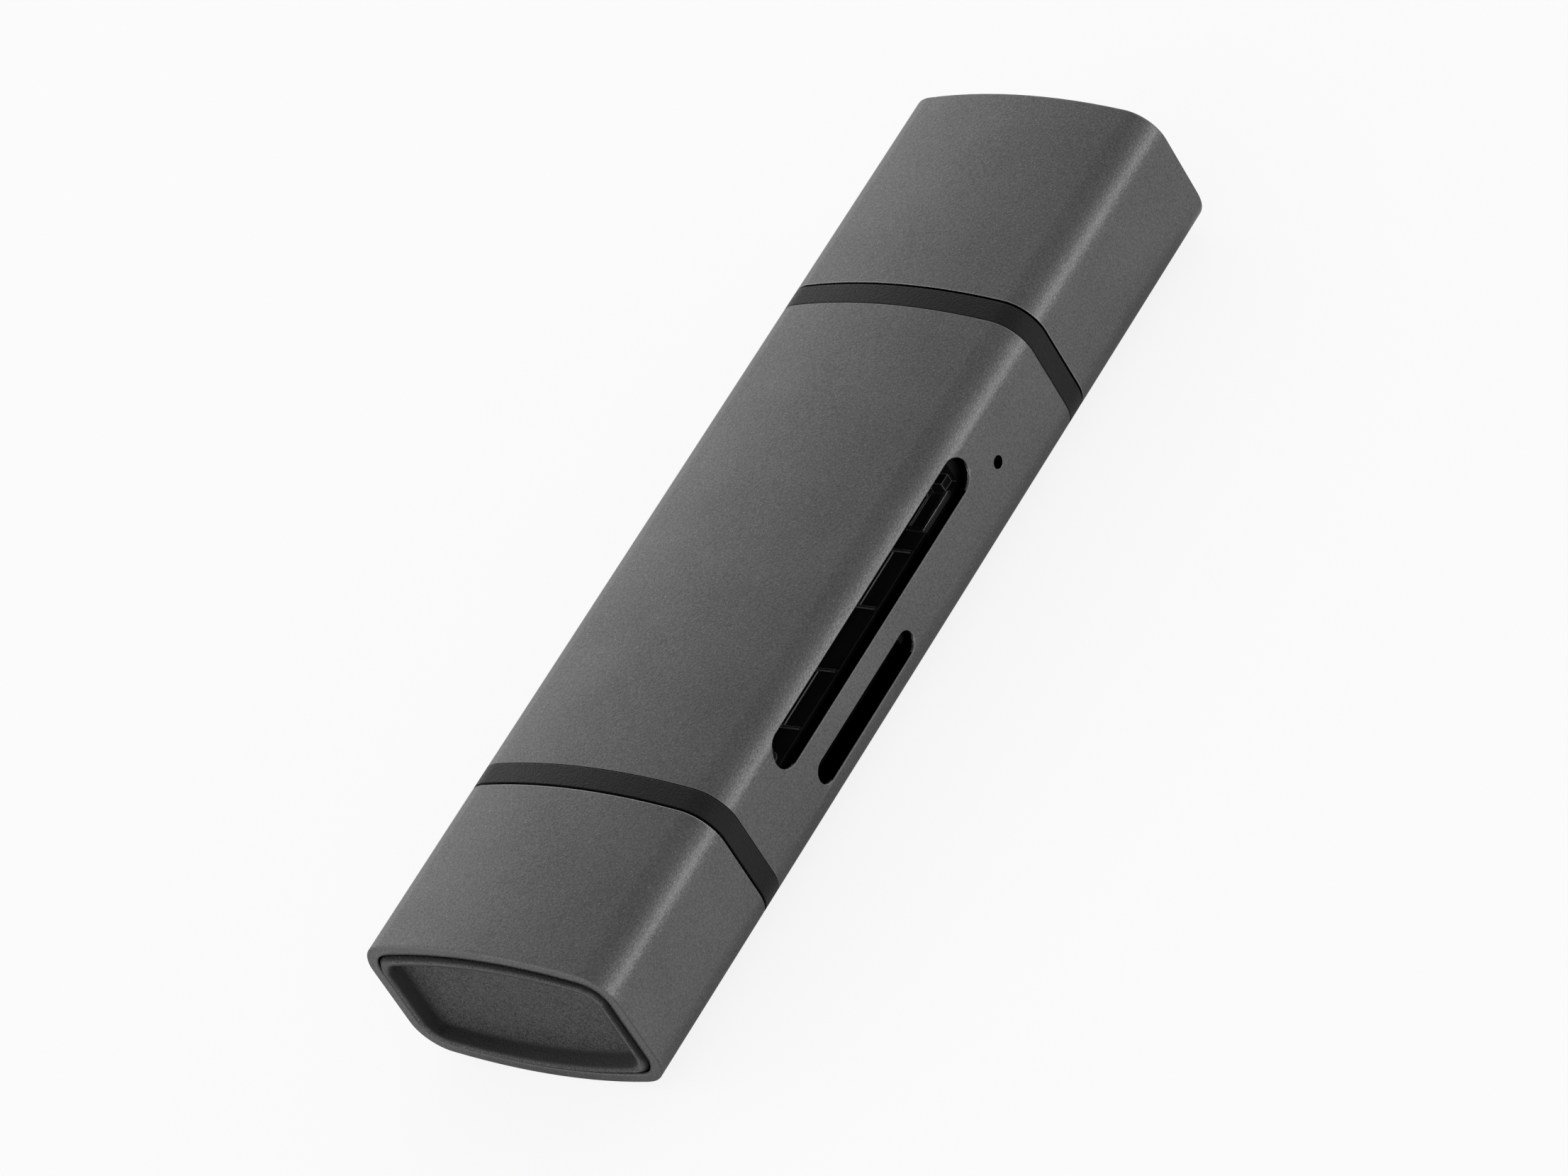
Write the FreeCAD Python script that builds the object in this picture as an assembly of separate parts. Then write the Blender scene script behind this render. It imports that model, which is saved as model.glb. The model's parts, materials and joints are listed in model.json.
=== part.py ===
import FreeCAD
import Part
import math
import os

# A pocket card reader: an aluminium sleeve of barrel section with an SD slot and a microSD slot in one side,
# a USB-A plug at one end, a USB-C plug at the other, and a pull-off cap over each plug.
# Millimetres. X runs from the USB-C end to the USB-A end, the slots face -Y, and Z is up from the table.
# The origin is on the table under the middle of the closed reader.

Vector = FreeCAD.Vector

# Driving dimensions
# Barrel section shared by the sleeve, the bands and the caps
WIDTH = 20.5
THICKNESS = 12.0
CROWN_RISE = 1.33
CORNER_RADIUS = 2.7
SHARPEST_CORNER = 0.3
WALL = 0.8
SLOT_EDGE_BREAK = 0.08

# Card slots and the lamp hole, placed from the USB-C end of the sleeve
SD_CARD_WIDTH = 24.0
SD_SLOT_PLAY = 0.7
SD_SLOT_HEIGHT = 2.6
SD_TO_USB_C_END = 4.8
MICROSD_CARD_WIDTH = 11.0
MICROSD_SLOT_PLAY = 0.65
MICROSD_SLOT_HEIGHT = 1.73
MICROSD_TO_USB_C_END = 6.9
LAMP_HOLE = 0.9
LAMP_TO_SD_SLOT = 2.2

# End frames: a band flush with the sleeve past a fine seam, a tenon inside the sleeve, a spigot inside the cap
SEAM = 0.06
BAND_WIDTH = 1.59
SEAT_GAP = 0.2
SPIGOT_LENGTH = 2.0
SPIGOT_CLEARANCE = 0.15
SPIGOT_CHAMFER = 0.3
TENON_CLEARANCE = 0.06
TENON_TO_SOCKET = 0.4
TENON_TO_LAMP = 1.4
FRAME_WALL = 1.2
FRONT_WALL = 1.4
PLUG_CLEARANCE = 0.1
GROOVE_DEPTH = 0.55
BOARD_CLEARANCE = 0.04

# Caps: an open shell lined by a plastic insert with a dished end
CAP_EDGE_BREAK = 0.08
INSERT_GAP = 0.1
INSERT_WALL = 0.9
INSERT_TO_SPIGOT = 0.2
END_WALL = 1.0
RIM_PROUD = 0.24
RIM_WIDTH = 0.85
RIM_BREAK = 0.36
RIM_CREST = 0.05
RIM_FALL = 0.14
DISH_DEPTH = 1.05
DISH_DRAFT = 0.3
DISH_COVE = 0.25
GRIP_RIB_WIDTH = 0.8
GRIP_RIB_INSET = 1.4
GRIP_CLEARANCE = 0.05
GRIP_LEAD = 0.6
USB_A_TIP_ROOM = 1.44
USB_C_TIP_ROOM = 3.09

# Circuit board
BOARD_THICKNESS = 0.8
BOARD_DROP = 0.28
BOARD_TO_PLUG = 0.3
BOARD_ARM_GAP = 0.15
BOARD_ARM_LAP = 2.2

# USB-A plug
USB_A_WIDTH = 12.0
USB_A_HEIGHT = 4.5
USB_A_OUT = 12.0
USB_A_LENGTH = 18.6
USB_A_SHEET = 0.32
USB_A_CORNER = 0.7
USB_A_TIP_CHAMFER = 0.2
USB_A_WINDOW = 2.3
USB_A_WINDOW_SETBACK = 5.2
USB_A_WINDOW_SPACING = 5.5
USB_A_WING = 1.5
USB_A_WING_LENGTH = 1.6
USB_A_TONGUE_SETBACK = 0.6
USB_A_BLOCK_SETBACK = 9.3
USB_A_PIN_WIDTH = 1.0
USB_A_PIN_THICKNESS = 0.2
USB_A_POWER_SETBACK = 1.5
USB_A_DATA_SETBACK = 2.5
USB_A_INNER_PIN = 1.0
USB_A_OUTER_PIN = 3.5
USB_A_PIN_LANDING = 1.5
USB_A_FAST_COUNT = 5
USB_A_FAST_PITCH = 2.0
USB_A_FAST_WIDTH = 0.6
USB_A_FAST_RISE = 1.2
USB_A_FAST_NOSE = 1.6
USB_A_FAST_DIP = 0.45
USB_A_FAST_LANDING = 1.0
USB_A_CONTACT_TO_SOCKET = 1.45
FIT_CLEARANCE = 0.04

# USB-C plug
USB_C_WIDTH = 8.25
USB_C_HEIGHT = 2.4
USB_C_OUT = 6.65
USB_C_LENGTH = 11.0
USB_C_SHEET = 0.25
USB_C_TIP_CHAMFER = 0.12
USB_C_INSULATOR_SETBACK = 0.2
USB_C_INSULATOR_TAIL = 0.4
USB_C_MOUTH_WIDTH = 6.8
USB_C_MOUTH_HEIGHT = 0.86
USB_C_MOUTH_CORNER = 0.3
USB_C_MOUTH_DEPTH = 5.9
USB_C_PIN_COUNT = 12
USB_C_PIN_PITCH = 0.5
USB_C_PIN_WIDTH = 0.24
USB_C_PIN_THICKNESS = 0.14
USB_C_PIN_LIFT = 0.56
USB_C_PIN_SETBACK = 0.9
USB_C_PIN_BULGE = 0.2
USB_C_PIN_BOW = 1.0
USB_C_PIN_LANDING = 1.2
USB_C_LATCH_HEIGHT = 0.5
USB_C_LATCH_LENGTH = 5.6

# SD socket on top of the board
SOCKET_TO_SLEEVE = 0.1
SD_FLOOR = 1.2
SD_CHANNEL = 2.35
SD_PLAY = 0.2
SD_WALL = 1.1
SD_BACK_WALL = 1.0
SD_SHEET = 0.2
SD_PIN_COUNT = 9
SD_PIN_MARGIN = 2.0
SD_PIN_WIDTH = 0.8
SD_PIN_THICKNESS = 0.2
SD_PIN_REACH = 5.0
SD_PIN_TAIL = 1.0
SD_RAIL_WIDTH = 1.4
SD_RAIL_HEIGHT = 0.62
SD_RAIL_SETBACK = 0.5
SD_RAIL_CORNER = 0.7
SD_RIDGE_WIDTH = 0.16
SD_RIDGE_HEIGHT = 0.09
SD_RIDGE_LENGTH = 6.0
SD_RIDGE_MIDDLE = -1.35
SD_RIDGE_INNER = 2.65
SD_RIDGE_OUTER = 7.45
SD_PAD_HEIGHT = 0.07
SD_PAD_SETBACK = 1.5
SD_SPRING_START = 7.9
SD_SPRING_LENGTH = 3.4
SD_SPRING_WIDTH = 0.3
SD_SPRING_LEG = 1.3
SD_SPRING_SETBACK = 0.25
SD_SPRING_THICKNESS = 0.2
SD_SPRING_SUNK = 0.15

# microSD socket under the board
MICROSD_FLOOR = 0.25
MICROSD_CHANNEL = 0.9
MICROSD_PLAY = 0.1
MICROSD_WALL = 0.8
MICROSD_BACK_WALL = 0.8
MICROSD_SHEET = 0.15
MICROSD_DEPTH = 14.5
MICROSD_PIN_COUNT = 8
MICROSD_PIN_MARGIN = 1.65
MICROSD_PIN_WIDTH = 0.5
MICROSD_PIN_THICKNESS = 0.12
MICROSD_PIN_REACH = 3.5
MICROSD_PIN_TAIL = 0.8

# Both sockets: sheet covers and contact springs
COVER_SETBACK = 0.4
COVER_TO_BOARD = 0.15
COVER_WINDOW_WIDTH = 2.0
COVER_WINDOW_LENGTH = 4.0
PIN_SIDE_ROOM = 0.1
PIN_LIFT = 0.32
PIN_NOSE = 0.8

# Small parts on the board
CHIP_SIZE = 7.0
CHIP_HEIGHT = 0.85
CHIP_CHAMFER = 0.15
CHIP_DIMPLE = 0.5
CHIP_DIMPLE_DEPTH = 0.1
CHIP_TO_SOCKET = 2.2
CRYSTAL_LENGTH = 3.2
CRYSTAL_WIDTH = 2.5
CRYSTAL_HEIGHT = 0.75
CRYSTAL_CORNER = 0.4
REGULATOR_LENGTH = 2.9
REGULATOR_WIDTH = 1.6
REGULATOR_HEIGHT = 1.0
REGULATOR_LEAD_WIDTH = 0.4
REGULATOR_LEAD_LENGTH = 0.6
REGULATOR_LEAD_THICKNESS = 0.15
REGULATOR_LEAD_PITCH = 0.95
SMALL_PART_GAP = 0.7
CAPACITOR_LENGTH = 1.6
CAPACITOR_WIDTH = 0.8
CAPACITOR_COUNT = 4
CAPACITOR_PITCH = 2.4
RESISTOR_LENGTH = 1.0
RESISTOR_WIDTH = 0.5
RESISTOR_HEIGHT = 0.35
RESISTOR_COUNT = 6
RESISTOR_PITCH = 1.3
LAMP_LENGTH = 1.6
LAMP_DEPTH = 0.8
LAMP_HEIGHT = 0.4
LAMP_SETBACK = 0.1
LAMP_LENS = 0.5

# A cutter reaches this far past the faces that it opens, and points this close are the same
THROUGH = 1.0
NEAR = 1e-5

# Worked-out places
HALF_WIDTH = WIDTH / 2
MID_Z = THICKNESS / 2
CROWN_RADIUS = (HALF_WIDTH ** 2 + CROWN_RISE ** 2) / (2 * CROWN_RISE)
CROWN_CENTRE = MID_Z - CROWN_RADIUS
BOARD_TOP = MID_Z - BOARD_DROP
BOARD_BOTTOM = BOARD_TOP - BOARD_THICKNESS
TENON_INSET = WALL + TENON_CLEARANCE
TENON_INNER_INSET = TENON_INSET + FRAME_WALL
BOARD_HALF_WIDTH = HALF_WIDTH - TENON_INNER_INSET + GROOVE_DEPTH - BOARD_CLEARANCE
DISH_SUNK = DISH_DEPTH - RIM_PROUD
USB_A_CAP_LENGTH = SPIGOT_LENGTH - SEAT_GAP + USB_A_OUT + USB_A_TIP_ROOM + END_WALL + DISH_SUNK
USB_C_CAP_LENGTH = SPIGOT_LENGTH - SEAT_GAP + USB_C_OUT + USB_C_TIP_ROOM + END_WALL + DISH_SUNK
SD_SLOT_LENGTH = SD_CARD_WIDTH + 2 * SD_SLOT_PLAY
SD_OUTER = SD_CARD_WIDTH / 2 + SD_PLAY + SD_WALL + SD_SHEET
SD_PIN_PITCH = (SD_CARD_WIDTH - 2 * SD_PIN_MARGIN) / (SD_PIN_COUNT - 1)
MICROSD_SLOT_LENGTH = MICROSD_CARD_WIDTH + 2 * MICROSD_SLOT_PLAY
MICROSD_PIN_PITCH = (MICROSD_CARD_WIDTH - 2 * MICROSD_PIN_MARGIN) / (MICROSD_PIN_COUNT - 1)
USB_A_INSIDE = USB_A_LENGTH - USB_A_OUT - SPIGOT_LENGTH - BAND_WIDTH - SEAM
USB_A_STEP = BOARD_TO_PLUG + USB_A_PIN_LANDING + USB_A_PIN_THICKNESS
USB_A_CONTACT_RUN = USB_A_STEP + USB_A_FAST_RISE + USB_A_FAST_LANDING
SD_TO_USB_A_END = USB_A_INSIDE + USB_A_CONTACT_RUN + USB_A_CONTACT_TO_SOCKET + SD_OUTER - SD_SLOT_LENGTH / 2
BODY_LENGTH = SD_TO_USB_C_END + SD_SLOT_LENGTH + SD_TO_USB_A_END
TOTAL_LENGTH = USB_C_CAP_LENGTH + USB_A_CAP_LENGTH + BODY_LENGTH + 2 * (SEAM + BAND_WIDTH + SEAT_GAP)
BODY_C_FACE = -TOTAL_LENGTH / 2 + USB_C_CAP_LENGTH + SEAT_GAP + BAND_WIDTH + SEAM
BODY_A_FACE = BODY_C_FACE + BODY_LENGTH
SD_X = BODY_C_FACE + SD_TO_USB_C_END + SD_SLOT_LENGTH / 2
MICROSD_X = BODY_C_FACE + MICROSD_TO_USB_C_END + MICROSD_SLOT_LENGTH / 2
LAMP_X = SD_X + SD_SLOT_LENGTH / 2 + LAMP_TO_SD_SLOT
LAMP_Z = BOARD_TOP + LAMP_HEIGHT / 2


def corner(inset):
    """Radius, y and height over the mid-plane of a rounded corner of the section moved inwards."""
    radius = max(CORNER_RADIUS - inset, SHARPEST_CORNER)
    y = HALF_WIDTH - inset - radius
    height = CROWN_CENTRE + math.sqrt((CROWN_RADIUS - inset - radius) ** 2 - y ** 2)
    return radius, y, height


def half_width_at(height, inset):
    """Half width of the section, moved inwards by inset, at a height over or under the mid-plane."""
    radius, y, centre = corner(inset)
    above = max(abs(height) - centre, 0.0)
    return y + math.sqrt(radius ** 2 - above ** 2)


def barrel_wire(x, inset):
    """The barrel section at x, moved inwards: flat sides, rounded corners, crowned top and bottom."""
    radius, corner_y, corner_z = corner(inset)
    crown = CROWN_RADIUS - inset
    side = HALF_WIDTH - inset
    top = MID_Z - inset
    reach = crown / (crown - radius)
    meet_y = corner_y * reach
    meet_z = CROWN_CENTRE + (corner_z - CROWN_CENTRE) * reach
    half_turn = math.atan2(meet_z - corner_z, meet_y - corner_y) / 2
    bend_y = corner_y + radius * math.cos(half_turn)
    bend_z = corner_z + radius * math.sin(half_turn)

    def at(y, height):
        return Vector(x, y, MID_Z + height)

    edges = []
    for turn in (1, -1):
        edges.append(Part.LineSegment(at(turn * side, -turn * corner_z), at(turn * side, turn * corner_z)))
        edges.append(Part.Arc(at(turn * side, turn * corner_z), at(turn * bend_y, turn * bend_z),
                              at(turn * meet_y, turn * meet_z)))
        edges.append(Part.Arc(at(turn * meet_y, turn * meet_z), at(0, turn * top),
                              at(-turn * meet_y, turn * meet_z)))
        edges.append(Part.Arc(at(-turn * meet_y, turn * meet_z), at(-turn * bend_y, turn * bend_z),
                              at(-turn * side, turn * corner_z)))
    return Part.Wire([edge.toShape() for edge in edges])


def prism(x_first, x_last, inset):
    """A solid bar of barrel section between two stations along X."""
    start = min(x_first, x_last)
    return Part.Face(barrel_wire(start, inset)).extrude(Vector(abs(x_last - x_first), 0, 0))


def block(x_pair, y_pair, z_pair):
    """A box between pairs of limits, given in either order."""
    pairs = (x_pair, y_pair, z_pair)
    low = [min(pair) for pair in pairs]
    size = [max(pair) - min(pair) for pair in pairs]
    return Part.makeBox(*size, Vector(*low))


def about(centre, width):
    """The pair of limits of a width centred on a place."""
    return centre - width / 2, centre + width / 2


def rounded_wire(width, height, radius, place):
    """A rectangle with round corners, laid in space by place(u, v)."""
    flat_u = width / 2 - radius
    flat_v = height / 2 - radius
    diagonal = radius * math.sqrt(0.5)
    edges = []
    for turn in (1, -1):
        if flat_v > 0:
            edges.append(Part.LineSegment(place(turn * width / 2, -turn * flat_v),
                                          place(turn * width / 2, turn * flat_v)))
        edges.append(Part.Arc(place(turn * width / 2, turn * flat_v),
                              place(turn * (flat_u + diagonal), turn * (flat_v + diagonal)),
                              place(turn * flat_u, turn * height / 2)))
        edges.append(Part.LineSegment(place(turn * flat_u, turn * height / 2),
                                      place(-turn * flat_u, turn * height / 2)))
        edges.append(Part.Arc(place(-turn * flat_u, turn * height / 2),
                              place(-turn * (flat_u + diagonal), turn * (flat_v + diagonal)),
                              place(-turn * width / 2, turn * flat_v)))
    return Part.Wire([edge.toShape() for edge in edges])


def bar(x_pair, width, height, radius):
    """A round-cornered bar along X, centred on the mid-plane."""
    start = min(x_pair)
    wire = rounded_wire(width, height, radius, lambda y, z: Vector(start, y, MID_Z + z))
    return Part.Face(wire).extrude(Vector(max(x_pair) - start, 0, 0))


def cut_wall_slot(solid, x, z, length, height):
    """Cut a round-ended slot through the wall of the sleeve that faces -Y, and break its outer edge."""
    outside = -HALF_WIDTH - THROUGH
    inside = -HALF_WIDTH + CORNER_RADIUS
    wire = rounded_wire(length, height, height / 2, lambda u, v: Vector(x + u, outside, z + v))
    solid = solid.cut(Part.Face(wire).extrude(Vector(0, inside - outside, 0)))

    def on_rim(point):
        past_flat = max(abs(point.x - x) - (length - height) / 2, 0.0)
        from_wall = math.hypot(past_flat, point.z - z) - height / 2
        return abs(from_wall) < NEAR and point.y < -HALF_WIDTH + WALL / 2

    def middle(edge):
        return edge.valueAt((edge.FirstParameter + edge.LastParameter) / 2)

    rim = [edge for edge in solid.Edges
           if on_rim(middle(edge)) and all(on_rim(vertex.Point) for vertex in edge.Vertexes)]
    return solid.makeChamfer(SLOT_EDGE_BREAK, rim)


def edges_at_x(shape, x):
    """The edges of a solid that lie in one plane across X."""
    return [edge for edge in shape.Edges
            if abs(edge.CenterOfMass.x - x) < NEAR and all(abs(v.X - x) < NEAR for v in edge.Vertexes)]


def unit(start, end):
    """Direction from one (u, v) point to another."""
    length = math.hypot(end[0] - start[0], end[1] - start[1])
    return (end[0] - start[0]) / length, (end[1] - start[1]) / length


def strip_outline(path, thickness):
    """Outline of sheet of even thickness bent along a path of (u, v) points, with mitred bends."""
    left = []
    right = []
    last = len(path) - 1
    for place, (u, v) in enumerate(path):
        arriving = unit(path[max(place - 1, 0)], path[max(place, 1)])
        leaving = unit(path[min(place, last - 1)], path[min(place + 1, last)])
        normal = unit((0, 0), (-arriving[1] - leaving[1], arriving[0] + leaving[0]))
        reach = thickness / 2 / (arriving[0] * normal[1] - arriving[1] * normal[0])
        left.append((u + normal[0] * reach, v + normal[1] * reach))
        right.append((u - normal[0] * reach, v - normal[1] * reach))
    return left + right[::-1]


def strip(path, thickness, width, lay, across):
    """A bent strip: lay(u, v) puts its path in space, and it is as wide as width along the vector across."""
    points = [lay(u, v) - across * (width / 2) for u, v in strip_outline(path, thickness)]
    return Part.Face(Part.makePolygon(points + points[:1])).extrude(across * width)


def row(count, pitch):
    """Places of equal pitch centred on zero."""
    return [(number - (count - 1) / 2) * pitch for number in range(count)]


class End:
    """One end of the reader: the stations of its band, spigot, cap and plug along X."""

    def __init__(self, side, body_face, plug, plug_out, plug_length, cap_length, tenon_length):
        self.side = side
        self.plug = plug
        self.band_root = self.outward(body_face, SEAM)
        self.tenon_end = self.inward(body_face, tenon_length)
        self.band_face = self.outward(self.band_root, BAND_WIDTH)
        self.spigot_face = self.outward(self.band_face, SPIGOT_LENGTH)
        self.cap_mouth = self.outward(self.band_face, SEAT_GAP)
        self.cap_end = self.outward(self.cap_mouth, cap_length)
        self.plug_tip = self.outward(self.spigot_face, plug_out)
        self.plug_rear = self.inward(self.plug_tip, plug_length)

    def outward(self, x, distance):
        return x + self.side * distance

    def inward(self, x, distance):
        return x - self.side * distance

    def plug_bar(self, grow):
        """The plug's outline as a bar right through this end, grown all round."""
        width, height, radius = self.plug
        pair = (self.plug_tip, self.plug_rear)
        return bar(pair, width + 2 * grow, height + 2 * grow, radius + grow)


class Socket:
    """A card socket on one face of the board: heights are counted from that face."""

    def __init__(self, x, face, up, card, play, floor, channel, wall, back_wall, sheet, rear):
        self.x = x
        self.face = face
        self.up = up
        self.floor = floor
        self.roof = floor + channel
        self.top = self.roof + sheet
        self.sheet = sheet
        self.inner = card / 2 + play
        self.outer = self.inner + wall
        self.back_wall = back_wall
        self.front = SOCKET_TO_SLEEVE - half_width_at(self.z(self.top) - MID_Z, WALL)
        self.rear = rear(self.front)

    def z(self, height):
        return self.face + self.up * height

    def heights(self, low, high):
        return self.z(low), self.z(high)

    def across(self, half):
        return self.x - half, self.x + half


USB_C_TENON = SD_TO_USB_C_END + SD_SLOT_LENGTH / 2 - SD_OUTER - TENON_TO_SOCKET
USB_A_TENON = SD_TO_USB_A_END - LAMP_TO_SD_SLOT - LAMP_LENGTH / 2 - TENON_TO_LAMP

USB_A = End(1, BODY_A_FACE, (USB_A_WIDTH, USB_A_HEIGHT, USB_A_CORNER), USB_A_OUT, USB_A_LENGTH,
            USB_A_CAP_LENGTH, USB_A_TENON)
USB_C = End(-1, BODY_C_FACE, (USB_C_WIDTH, USB_C_HEIGHT, USB_C_HEIGHT / 2), USB_C_OUT, USB_C_LENGTH,
            USB_C_CAP_LENGTH, USB_C_TENON)
SD = Socket(SD_X, BOARD_TOP, 1, SD_CARD_WIDTH, SD_PLAY, SD_FLOOR,
            SD_CHANNEL, SD_WALL, SD_BACK_WALL, SD_SHEET,
            lambda front: BOARD_HALF_WIDTH - SD_PIN_TAIL - SMALL_PART_GAP)
MICROSD = Socket(MICROSD_X, BOARD_BOTTOM, -1, MICROSD_CARD_WIDTH, MICROSD_PLAY, MICROSD_FLOOR,
                 MICROSD_CHANNEL, MICROSD_WALL, MICROSD_BACK_WALL, MICROSD_SHEET,
                 lambda front: front + MICROSD_DEPTH)
BOARD_A_EDGE = USB_A.inward(USB_A.plug_rear, BOARD_TO_PLUG)
USB_C_INSULATOR_REAR = USB_C.inward(USB_C.plug_rear, USB_C_INSULATOR_TAIL)
BOARD_C_EDGE = USB_C.inward(USB_C_INSULATOR_REAR, BOARD_TO_PLUG)
TONGUE_TOP = BOARD_TOP + USB_A_PIN_THICKNESS
USB_A_FAST_Z = BOARD_TOP + USB_A_FAST_RISE
USB_A_BLOCK_FRONT = USB_A.inward(USB_A.plug_tip, USB_A_BLOCK_SETBACK)
SD_PINS = row(SD_PIN_COUNT, SD_PIN_PITCH)
MICROSD_PINS = row(MICROSD_PIN_COUNT, MICROSD_PIN_PITCH)


# Casing
def body_sleeve():
    """The extruded sleeve, with two card slots and the lamp hole in the wall at -Y."""
    solid = prism(BODY_C_FACE, BODY_A_FACE, 0).cut(prism(BODY_C_FACE - THROUGH, BODY_A_FACE + THROUGH, WALL))
    sd_z = SD.z(SD_FLOOR) + SD_SLOT_HEIGHT / 2
    microsd_z = MICROSD.z(MICROSD_FLOOR + MICROSD_CHANNEL / 2)
    solid = cut_wall_slot(solid, SD_X, sd_z, SD_SLOT_LENGTH, SD_SLOT_HEIGHT)
    solid = cut_wall_slot(solid, MICROSD_X, microsd_z, MICROSD_SLOT_LENGTH, MICROSD_SLOT_HEIGHT)
    hole_start = Vector(LAMP_X, -HALF_WIDTH - THROUGH, LAMP_Z)
    hole = Part.makeCylinder(LAMP_HOLE / 2, THROUGH + WALL + THROUGH, hole_start, Vector(0, 1, 0))
    return solid.cut(hole)


def end_frame(end, groove_end):
    """Plastic end piece: band, tenon and spigot in one, cored, with the plug's hole and board grooves."""
    band = prism(end.band_root, end.band_face, 0)
    spigot = prism(end.band_face, end.spigot_face, WALL + SPIGOT_CLEARANCE)
    spigot = spigot.makeChamfer(SPIGOT_CHAMFER, edges_at_x(spigot, end.spigot_face))
    tenon = prism(end.band_root, end.tenon_end, TENON_INSET)
    core_start = end.inward(end.tenon_end, THROUGH)
    core = prism(core_start, end.inward(end.spigot_face, FRONT_WALL), TENON_INNER_INSET)
    groove_half = BOARD_HALF_WIDTH + BOARD_CLEARANCE
    groove_heights = (BOARD_BOTTOM - BOARD_CLEARANCE, BOARD_TOP + BOARD_CLEARANCE)
    groove = block((core_start, groove_end), (-groove_half, groove_half), groove_heights)
    frame = band.fuse([spigot, tenon]).removeSplitter()
    return frame.cut([core, groove, end.plug_bar(PLUG_CLEARANCE)])


def cap_shell(end):
    """Aluminium tube of a cap, its far edge broken."""
    solid = prism(end.cap_mouth, end.cap_end, 0)
    solid = solid.makeChamfer(CAP_EDGE_BREAK, edges_at_x(solid, end.cap_end))
    return solid.cut(prism(end.inward(end.cap_mouth, THROUGH), end.outward(end.cap_end, THROUGH), WALL))


def cap_insert(end):
    """Plastic cup in a cap: a rim that falls away to both sides, a dished end, and ribs that grip the plug."""
    outer_inset = WALL + INSERT_GAP
    front = end.outward(end.spigot_face, INSERT_TO_SPIGOT)
    crest = end.outward(end.cap_end, RIM_PROUD)
    solid = prism(front, crest, outer_inset)
    solid = solid.makeChamfer(RIM_BREAK, edges_at_x(solid, crest))

    ridge = outer_inset + RIM_BREAK + RIM_CREST
    lip = outer_inset + RIM_WIDTH
    foot = lip + DISH_DRAFT
    profile = [(0, ridge), (RIM_FALL, lip), (DISH_DEPTH - DISH_COVE, foot), (DISH_DEPTH, foot + DISH_COVE)]
    outlines = [barrel_wire(end.inward(crest, depth), inset) for depth, inset in profile]
    dish = Part.makeLoft(outlines, True, True)

    cavity_end = end.inward(crest, DISH_DEPTH + END_WALL)
    cavity = prism(end.inward(front, THROUGH), cavity_end, outer_inset + INSERT_WALL)
    return solid.cut([dish, cavity.cut(grip_ribs(end, front))])


def grip_ribs(end, front):
    """Four ribs along the cap, two over and two under the plug, with a sloped lead at the mouth."""
    width, height, _ = end.plug
    grip = height / 2 + GRIP_CLEARANCE
    beside = width / 2 - GRIP_RIB_INSET
    outline = [(front, grip + GRIP_LEAD), (end.outward(front, 2 * GRIP_LEAD), grip), (end.plug_tip, grip),
               (end.plug_tip, MID_Z), (front, MID_Z)]
    ribs = []
    for over in (1, -1):
        for y in (-beside, beside):
            points = [Vector(x, y - GRIP_RIB_WIDTH / 2, MID_Z + over * z) for x, z in outline]
            face = Part.Face(Part.makePolygon(points + points[:1]))
            ribs.append(face.extrude(Vector(0, GRIP_RIB_WIDTH, 0)))
    return ribs


# Circuit board
def main_board():
    """The board, held by its edges in the end frames, with two arms beside the USB-A plug."""
    arm_end = USB_A.outward(USB_A.plug_rear, BOARD_ARM_LAP)
    arm_half = USB_A_WIDTH / 2 + BOARD_ARM_GAP
    widths = (-BOARD_HALF_WIDTH, BOARD_HALF_WIDTH)
    heights = (BOARD_BOTTOM, BOARD_TOP)
    board = block((BOARD_C_EDGE, arm_end), widths, heights)
    notch_heights = (BOARD_BOTTOM - THROUGH, BOARD_TOP + THROUGH)
    return board.cut(block((BOARD_A_EDGE, arm_end + THROUGH), (-arm_half, arm_half), notch_heights))


# USB-A plug
def usb_a_plug_shell():
    """Folded steel shell with two latch windows above and below, and side wings on the board's arms."""
    shell = USB_A.plug_bar(0)
    shell = shell.makeChamfer(USB_A_TIP_CHAMFER, edges_at_x(shell, USB_A.plug_tip))
    ends = (USB_A.plug_rear - THROUGH, USB_A.plug_tip + THROUGH)
    hollow = bar(ends, USB_A_WIDTH - 2 * USB_A_SHEET, USB_A_HEIGHT - 2 * USB_A_SHEET,
                 USB_A_CORNER - USB_A_SHEET)
    window_front = USB_A.inward(USB_A.plug_tip, USB_A_WINDOW_SETBACK)
    window_ends = (window_front, USB_A.inward(window_front, USB_A_WINDOW))
    windows = [block(window_ends, about(y, USB_A_WINDOW), (0, THICKNESS))
               for y in row(2, USB_A_WINDOW_SPACING)]
    wing_ends = (USB_A.plug_rear, USB_A.outward(USB_A.plug_rear, USB_A_WING_LENGTH))
    wing_heights = (BOARD_TOP, BOARD_TOP + USB_A_SHEET)
    wing_reach = USB_A_WIDTH / 2 + USB_A_WING
    wings = block(wing_ends, (-wing_reach, wing_reach), wing_heights)
    return shell.fuse(wings).cut([hollow] + windows)


def usb_a_pin_rows():
    """The four front contacts of the plug as (y, setback from the tip): power outside, data inside."""
    outside = [(side * USB_A_OUTER_PIN, USB_A_POWER_SETBACK) for side in (-1, 1)]
    inside = [(side * USB_A_INNER_PIN, USB_A_DATA_SETBACK) for side in (-1, 1)]
    return outside + inside


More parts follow.
